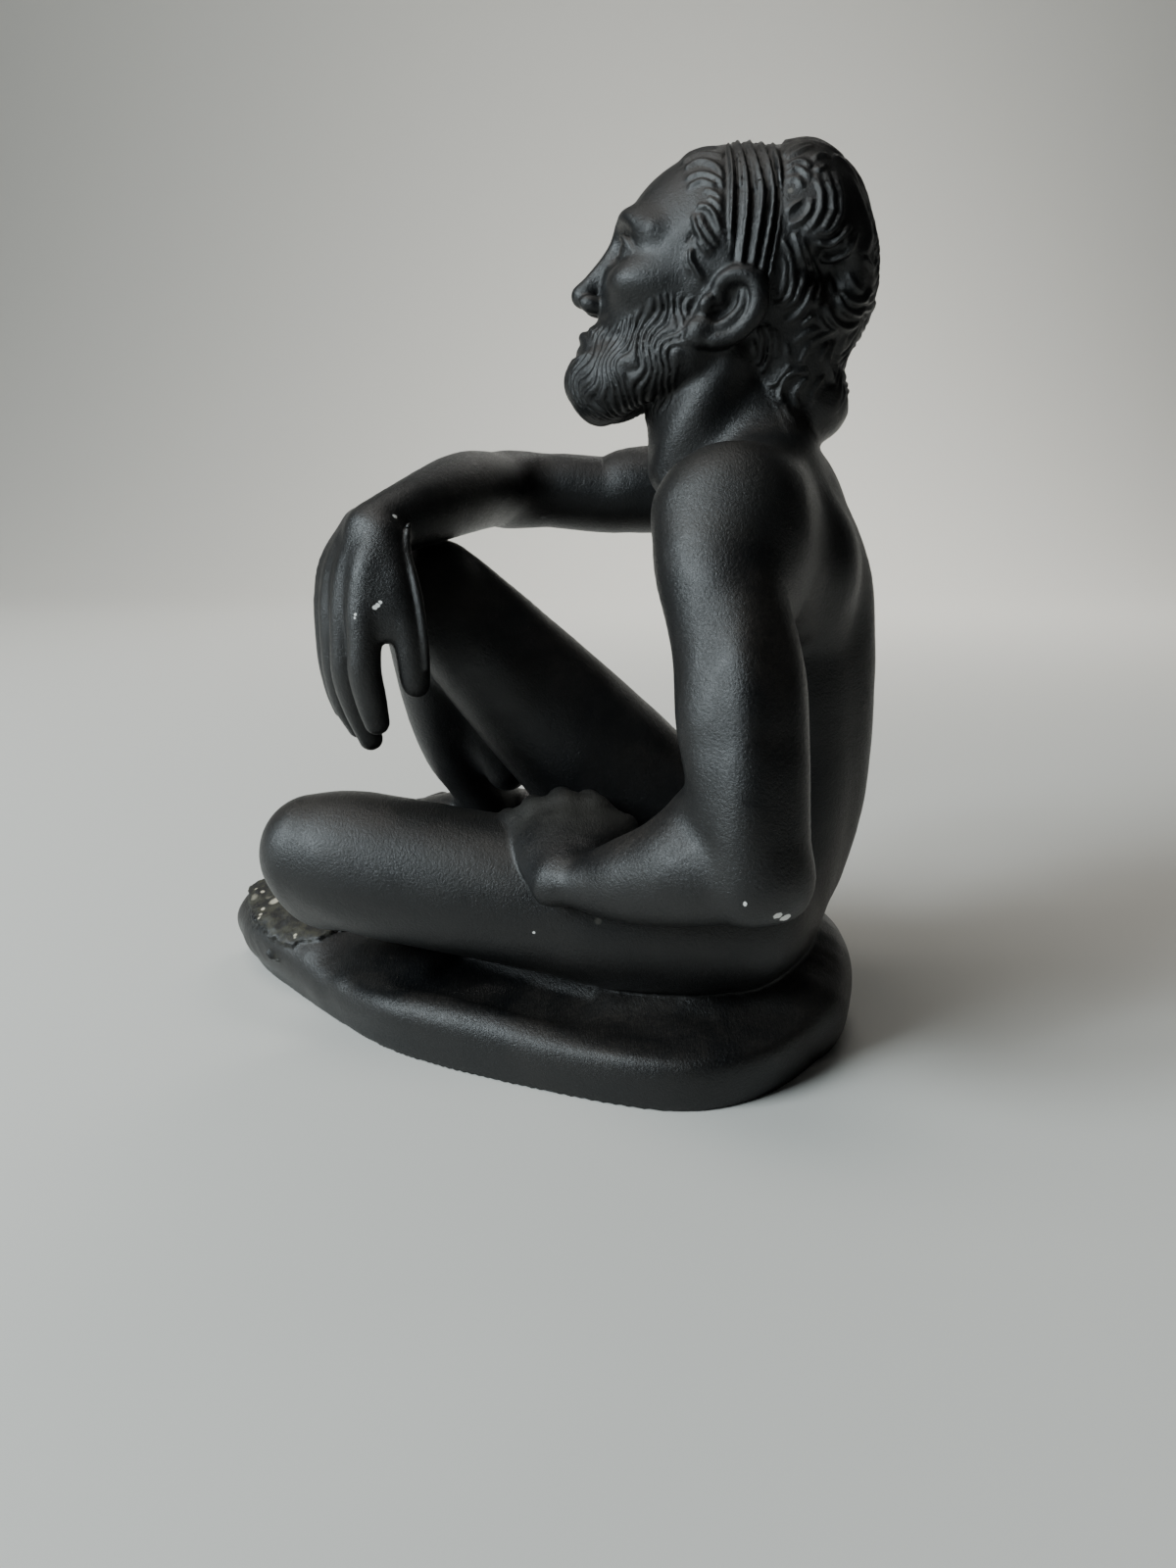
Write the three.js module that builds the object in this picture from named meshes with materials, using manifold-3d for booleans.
// Figurine of a seated bearded man, cast in one piece with the rock that he sits on.
// Millimetres, +Z up. The figure looks towards -X and his left side is towards -Y.
// The origin is the middle of the underside of the whole casting's box.
import * as THREE from 'three';
import { ConvexGeometry } from 'three/addons/geometries/ConvexGeometry.js';
import { mergeVertices } from 'three/addons/utils/BufferGeometryUtils.js';
import Module from 'manifold-3d';

const wasm = await Module();
wasm.setup();

// Driving dimensions
const figureHeight = 209;
const rockThickness = 12.5;
const armRadius = 11;
const thighRadius = 17.6;
const calfRadius = 10.4;
const fingerRadius = 3.7;
const toeRadius = 3.2;
const headTiltBack = THREE.MathUtils.degToRad(18);
const headTurnAway = THREE.MathUtils.degToRad(8);
const bandLean = THREE.MathUtils.degToRad(13);

// Joints of the figure, in millimetres over the middle of the rock
const joint = {
  shoulderLeft: [26, -30, 126],
  elbowLeft: [35, -62, 58],
  wristLeft: [-4, -40, 49],
  shoulderRight: [46, 50, 130],
  elbowRight: [-26, 50, 129],
  wristRight: [-47, -5, 123],
  hipLeft: [34, -22, 33],
  kneeLeft: [-64, -11, 45],
  ankleLeft: [2, 28, 24],
  hipRight: [36, 18, 34],
  kneeRight: [-40, 16, 107],
  ankleRight: [-29, 46, 44],
  neckBase: [42, 10, 130],
  earMiddle: [30, 14, 170],
};

// The head's own axes: forwards out of the face, to the figure's left, and up through the crown
const headForward = new THREE.Vector3(
  -Math.cos(headTiltBack) * Math.cos(headTurnAway),
  Math.cos(headTiltBack) * Math.sin(headTurnAway),
  Math.sin(headTiltBack),
);
const headLeft = new THREE.Vector3(-Math.sin(headTurnAway), -Math.cos(headTurnAway), 0);
const headUp = new THREE.Vector3().crossVectors(headForward, headLeft);
const headFrame = new THREE.Matrix4()
  .makeBasis(headForward, headLeft, headUp)
  .setPosition(...joint.earMiddle);

// A closed mesh becomes a solid once its shared vertices are merged.
function solidOf(geometry) {
  const bare = geometry.clone();
  bare.deleteAttribute('normal');
  bare.deleteAttribute('uv');
  const merged = mergeVertices(bare, 1e-4);
  const mesh = new wasm.Mesh({
    numProp: 3,
    vertProperties: new Float32Array(merged.attributes.position.array),
    triVerts: new Uint32Array(merged.index.array),
  });
  return new wasm.Manifold(mesh);
}

// A ball drawn out along a smooth path. Each stop is [x, y, z, halfWide, halfDeep]; the section is an
// ellipse whose wide axis lies nearest to wideAxis, and both ends are rounded off.
function limb(stops, wideAxis = [0, 0, 1], sides = 12, rings = 10) {
  const places = stops.map((stop) => new THREE.Vector3(stop[0], stop[1], stop[2]));
  const sizes = stops.map((stop) => new THREE.Vector3(stop[3], stop[4] ?? stop[3], 0));
  const path = new THREE.CatmullRomCurve3(places, false, 'catmullrom', 0.5);
  const girth = new THREE.CatmullRomCurve3(sizes, false, 'catmullrom', 0.5);
  const length = places.slice(1).reduce((sum, place, i) => sum + place.distanceTo(places[i]), 0);
  const capStart = Math.min(sizes[0].x, sizes[0].y);
  const capEnd = Math.min(sizes.at(-1).x, sizes.at(-1).y);
  const hint = new THREE.Vector3(...wideAxis).normalize();
  const geometry = new THREE.SphereGeometry(1, sides, rings);
  const position = geometry.attributes.position;
  for (let i = 0; i < position.count; i += 1) {
    const polar = Math.acos(THREE.MathUtils.clamp(position.getY(i), -1, 1));
    const around = Math.hypot(position.getX(i), position.getZ(i));
    const along = (length + capStart + capEnd) * (1 - Math.cos(polar)) / 2 - capStart;
    const u = THREE.MathUtils.clamp(along / length, 0, 1);
    const tangent = path.getTangent(u);
    const deepDirection = new THREE.Vector3().crossVectors(tangent, hint).normalize();
    const wideDirection = new THREE.Vector3().crossVectors(deepDirection, tangent);
    const past = along < 0 ? along / capStart : Math.max(0, (along - length) / capEnd);
    const shrink = Math.sqrt(Math.max(0, 1 - past * past));
    const size = girth.getPoint(u);
    const beyond = along < 0 ? along : Math.max(0, along - length);
    const wide = around > 1e-6 ? position.getX(i) / around : 0;
    const deep = around > 1e-6 ? position.getZ(i) / around : 0;
    const point = path.getPoint(u)
      .addScaledVector(tangent, beyond)
      .addScaledVector(wideDirection, wide * size.x * shrink)
      .addScaledVector(deepDirection, deep * size.y * shrink);
    position.setXYZ(i, point.x, point.y, point.z);
  }
  return solidOf(geometry);
}

// An egg in the head's own axes: its middle and its half sizes, forwards, to the left and up
function headEgg(middle, halfSizes, sides = 12, rings = 8, lean = 0) {
  const geometry = new THREE.SphereGeometry(1, sides, rings);
  geometry.scale(...halfSizes);
  geometry.rotateY(lean);
  geometry.translate(...middle);
  geometry.applyMatrix4(headFrame);
  return solidOf(geometry);
}

// A body carried along a path that is given in the head's own axes
function headLimb(stops, wideAxis, sides, rings) {
  const placed = stops.map(([forward, left, up, ...size]) => {
    const point = new THREE.Vector3(forward, left, up).applyMatrix4(headFrame);
    return [point.x, point.y, point.z, ...size];
  });
  const axis = new THREE.Vector3(...wideAxis).transformDirection(headFrame);
  return limb(placed, axis.toArray(), sides, rings);
}

// Mirrored pairs on the head, such as the ears
function bothSides(make) {
  return [make(1), make(-1)];
}

// Point a part of the way from one joint to another, with the section's half sizes after it
function between(from, to, part, ...size) {
  return [0, 1, 2].map((axis) => from[axis] + (to[axis] - from[axis]) * part).concat(size);
}

// The rock: a slab whose sides bulge a little above the ground, with rounded rises on top of it
function rock() {
  const footScale = 0.98;
  const bulgeLevel = 0.4;
  const rimScale = 0.97;
  const corners = [
    [17, -52], [-9, -44], [-47, -28], [-74, 0], [-96, 24], [-101, 42], [-84, 60],
    [-40, 68], [6, 70], [46, 60], [66, 36], [70, 6], [60, -22], [41, -44],
  ];
  const points = corners.flatMap(([x, y]) => [
    new THREE.Vector3(x * footScale, y * footScale, 0),
    new THREE.Vector3(x, y, rockThickness * bulgeLevel),
    new THREE.Vector3(x * rimScale, y * rimScale, rockThickness),
  ]);
  const slab = solidOf(new ConvexGeometry(points));
  const seat = limb([[-50, 20, 9, 30, 9], [5, 4, 9, 44, 11], [42, 2, 9, 28, 12]], [0, 1, 0], 12, 8);
  const farRise = limb([[-62, 44, 16, 16, 12], [-28, 48, 20, 16, 14], [14, 44, 16, 18, 9]], [0, 1, 0], 12, 7);
  const rearLobe = limb([[44, -14, 11, 17, 9], [50, 10, 12, 20, 10]], [1, 0, 0], 10, 7);
  const leftLobe = limb([[-86, 34, 12, 14, 10], [-62, 20, 13, 17, 11]], [0, 1, 0], 10, 7);
  return [slab, seat, farRise, rearLobe, leftLobe];
}

// What the flat underside is cut off with
function belowGround() {
  const block = new THREE.BoxGeometry(2 * figureHeight, 2 * figureHeight, figureHeight);
  block.translate(0, 0, -figureHeight / 2);
  return solidOf(block);
}

function torso() {
  const trunk = limb([
    [36, -2, 31, 33, 23],
    [45, 1, 48, 28, 20],
    [50, 4, 66, 27, 19],
    [48.5, 7, 84, 30, 21],
    [45.5, 10, 102, 34, 22.5],
    [45, 11, 116, 35, 20.5],
    [43.5, 11, 127, 30, 17],
    [40, 11, 134, 17, 12],
  ], [0.2, 0.98, 0], 16, 14);
  const girdle = limb([
    [...joint.shoulderLeft, 12.5, 12],
    [41, -8, 129, 12, 13],
    [46, 28, 130, 12, 13],
    [...joint.shoulderRight, 13, 12],
  ], [0, 0, 1], 12, 10);
  const neck = limb([
    [...joint.neckBase, 20, 18],
    [35, 11, 142, 18.5, 16.5],
    [31.5, 13, 156, 17.5, 16],
  ], [1, 0, 0.4], 12, 7);
  return [trunk, girdle, neck];
}

function leftArm() {
  const upper = limb([
    [...joint.shoulderLeft, 13.4],
    [27, -40, 109, 12.6],
    [31, -52, 86, 12.8],
    [...joint.elbowLeft, armRadius],
  ], [1, 0, 0], 12, 11);
  const fore = limb([
    [...joint.elbowLeft, armRadius - 1],
    between(joint.elbowLeft, joint.wristLeft, 0.35, 12.2, 11),
    between(joint.elbowLeft, joint.wristLeft, 0.7, 9.4, 8.8),
    [...joint.wristLeft, 6.8, 6.2],
  ], [0, 0, 1], 12, 9);
  return [upper, fore];
}

// The left hand lies over the thigh: its back rises to the knuckles, and the fingers go down beyond.
function leftHand() {
  const back = limb([
    [...joint.wristLeft, 6.4, 5.6],
    [-5.5, -28, 51, 10.5, 7.4],
    [-8, -16, 53, 12.2, 8.6],
    [-8.6, -5, 51, 11.4, 8.4],
  ], [1, 0, 0.1], 12, 7);
  const knuckleSpan = 19.1;
  const knuckleDrop = [0, -0.6, 1.4, 4];
  const fingers = knuckleDrop.map((drop, finger) => {
    const x = 1.2 - knuckleSpan * finger / (knuckleDrop.length - 1);
    return limb([
      [x, -17, 59.6 - drop, fingerRadius],
      [x - 1.2, -7, 59 - drop, fingerRadius],
      [x - 3, 5, 46.6 - drop, fingerRadius - 0.6],
    ], [1, 0, 0], 7, 5);
  });
  const thumb = limb([[0.4, -34, 52.6, 4.2], [5.4, -24, 54.2, 4.4], [8.8, -12, 52.6, 3.4]], [0, 0, 1], 8, 5);
  return [back, ...fingers, thumb];
}

function rightArm() {
  const upper = limb([
    [...joint.shoulderRight, 13.4],
    between(joint.shoulderRight, joint.elbowRight, 0.45, 10.8),
    between(joint.shoulderRight, joint.elbowRight, 0.8, 9.8),
    [...joint.elbowRight, 9.8],
  ], [0, 0, 1], 12, 10);
  const fore = limb([
    [...joint.elbowRight, 9.6],
    between(joint.elbowRight, joint.wristRight, 0.3, 10.8),
    between(joint.elbowRight, joint.wristRight, 0.7, 8.8),
    [...joint.wristRight, 7.4, 7],
  ], [0, 0, 1], 12, 9);
  return [upper, fore];
}

// The right hand hangs from the wrist, its back towards -Y, with the thumb nearest to the body.
function rightHand() {
  const back = limb([
    [-49.6, -4, 121, 8.4, 6.6],
    [-54, -6, 113, 11.6, 5.4],
    [-56.2, -7, 104, 12.4, 4.4],
  ], [0.56, -0.83, 0], 12, 8);
  const knuckle = { x: -50.6, y: -15.5, z: 104.5 };
  const fingerPitch = { x: -3.8, y: 5.5 };
  const fingerLength = [29, 34.5, 33, 29.5];
  const fingers = fingerLength.map((long, finger) => {
    const x = knuckle.x + fingerPitch.x * finger;
    const y = knuckle.y + fingerPitch.y * finger;
    const radius = fingerRadius + (finger === 0 ? 0.5 : 0);
    return limb([
      [x, y, knuckle.z, radius],
      [x - 0.6, y - 0.4, knuckle.z - long * 0.48, radius - 0.2],
      [x - 0.5 + 0.75 * finger, y + 4.2, knuckle.z - long + radius, fingerRadius - 0.8],
    ], [1, 0, 0], 7, 5);
  });
  const thumb = limb([[-46, -10, 118, 5], [-42, -14.6, 104, 4.4], [-39.9, -14.4, 88.4, 3.5]], [1, 0, 0], 8, 6);
  return [back, ...fingers, thumb];
}

function leftLeg() {
  const thigh = limb([
    [...joint.hipLeft, 19.5],
    between(joint.hipLeft, joint.kneeLeft, 0.35, thighRadius + 0.4),
    between(joint.hipLeft, joint.kneeLeft, 0.7, thighRadius),
    [...joint.kneeLeft, 14.5],
  ], [0, 0, 1], 14, 12);
  const shin = limb([
    [-63, -6, 36, 13],
    [-34, 10, 30, calfRadius + 2],
    [...joint.ankleLeft, 8],
  ], [0, 0, 1], 12, 9);
  const foot = limb([[...joint.ankleLeft, 8, 7], [20, 34, 20, 9, 5.5], [32, 36, 18, 8, 4.5]], [0, 1, 0], 10, 7);
  return [thigh, shin, foot];
}

function rightLeg() {
  const thigh = limb([
    [...joint.hipRight, 19],
    between(joint.hipRight, joint.kneeRight, 0.4, thighRadius - 1.2),
    between(joint.hipRight, joint.kneeRight, 0.75, thighRadius - 2),
    [...joint.kneeRight, 14.2],
  ], [0, 1, 0], 14, 12);
  const calf = limb([
    [-41, 18, 104, 12.5],
    [-38, 27, 84, calfRadius + 0.8],
    [-33, 38, 61, calfRadius],
    [...joint.ankleRight, 8.6],
  ], [1, 0, 0], 12, 10);
  const foot = limb([[-20, 50, 38, 8, 7], [-36, 51, 38, 8.5, 7], [-50, 51, 36, 9.5, 4.5]], [0, 1, 0], 12, 8);
  const toes = [0, 1, 2, 3, 4].map((toe) => {
    const y = 43.5 + toe * 4;
    const reach = [-57, -59, -58, -56, -53][toe];
    const radius = toeRadius + (toe === 0 ? 0.8 : 0);
    return limb([[-48, y, 36, radius], [reach + radius, y, 35, radius]], [0, 1, 0], 7, 5);
  });
  return [thigh, calf, foot, ...toes];
}

// Head: a skull under thick hair that hangs to the nape, a wound-cord band over the crown,
// a plain face, and a short beard along the jaw.
function head() {
  const skull = headEgg([-2, 0, 11], [28.5, 22.5, 27.8], 16, 11);
  const crownHair = headEgg([-12.5, 0, 20], [18.6, 20.5, 24], 12, 9);
  const napeHair = headLimb([
    [-17, 0, 10, 19, 16],
    [-20, 0, -3, 18.5, 12.5],
    [-25.5, 0, -13, 14, 10.3],
  ], [0, 1, 0], 12, 7);
  const face = headEgg([11.5, 0, 4], [19, 18.5, 28], 12, 9);
  const brow = headLimb([[22, 12, 12, 3.4], [26.4, 0, 12.4, 3.6], [22, -12, 12, 3.4]], [0, 0, 1], 8, 7);
  const nose = headLimb([[28, 0, 9, 2.8], [30, 0, 0, 3.6], [31, 0, -5.6, 4.2]], [0, 1, 0], 8, 6);
  const lips = headLimb([[25, 6.5, -14, 2.4], [28, 0, -13.6, 3.4], [25, -6.5, -14, 2.4]], [0, 0, 1], 8, 6);
  const beard = headLimb([[2, 17, -8, 9, 5], [19, 8.5, -20, 9.4, 7], [22.5, 0, -22, 9.4, 8],
    [19, -8.5, -20, 9.4, 7], [2, -17, -8, 9, 5]], [0, 0, 1], 10, 11);
  const ears = bothSides((side) => headEgg([-1.5, side * 22, 0.5], [6, 3, 9.4], 8, 7, -0.35));
  return [skull, crownHair, napeHair, face, brow, nose, lips, beard, ...ears, headband()];
}

// Six cords side by side: a ring round the head whose profile is a row of ridges. The ring's radii
// are parts of the band's half sizes.
function headband() {
  const cordCount = 6;
  const cordPitch = 2.15;
  const innerRadius = 0.9;
  const grooveRadius = 0.985;
  const ridgeRadius = 1.025;
  const profile = [];
  for (let cord = 0; cord < cordCount; cord += 1) {
    const y = (cord - cordCount / 2) * cordPitch;
    profile.push(new THREE.Vector2(grooveRadius, y));
    profile.push(new THREE.Vector2(ridgeRadius, y + cordPitch / 2));
  }
  const edge = cordCount / 2 * cordPitch;
  profile.push(new THREE.Vector2(grooveRadius, edge));
  profile.push(new THREE.Vector2(innerRadius, edge));
  profile.push(new THREE.Vector2(innerRadius, -edge));
  profile.push(profile[0].clone());
  const ring = new THREE.LatheGeometry(profile, 16);
  ring.rotateZ(-Math.PI / 2);
  ring.scale(1, 22.6, 27.9);
  ring.rotateY(bandLean);
  ring.translate(-3, 0, 11.5);
  ring.applyMatrix4(headFrame);
  return solidOf(ring);
}

const pieces = [
  ...rock(), ...torso(), ...leftArm(), ...leftHand(), ...rightArm(), ...rightHand(),
  ...leftLeg(), ...rightLeg(), ...head(),
];
const mesh = wasm.Manifold.union(pieces).subtract(belowGround()).getMesh();
const figure = new THREE.BufferGeometry();
figure.setAttribute('position', new THREE.BufferAttribute(new Float32Array(mesh.vertProperties), 3));
figure.setIndex(new THREE.BufferAttribute(new Uint32Array(mesh.triVerts), 1));
figure.computeBoundingBox();
const box = figure.boundingBox;
figure.translate(-(box.min.x + box.max.x) / 2, -(box.min.y + box.max.y) / 2, -box.min.z);
const toHeight = figureHeight / (box.max.z - box.min.z);
figure.scale(toHeight, toHeight, toHeight);

const group = new THREE.Group();
const finish = new THREE.MeshStandardMaterial({ color: 0x17191b, roughness: 0.45, metalness: 0 });
const figurine = new THREE.Mesh(figure, finish);
figurine.name = 'figurine';
group.add(figurine);

export default group;
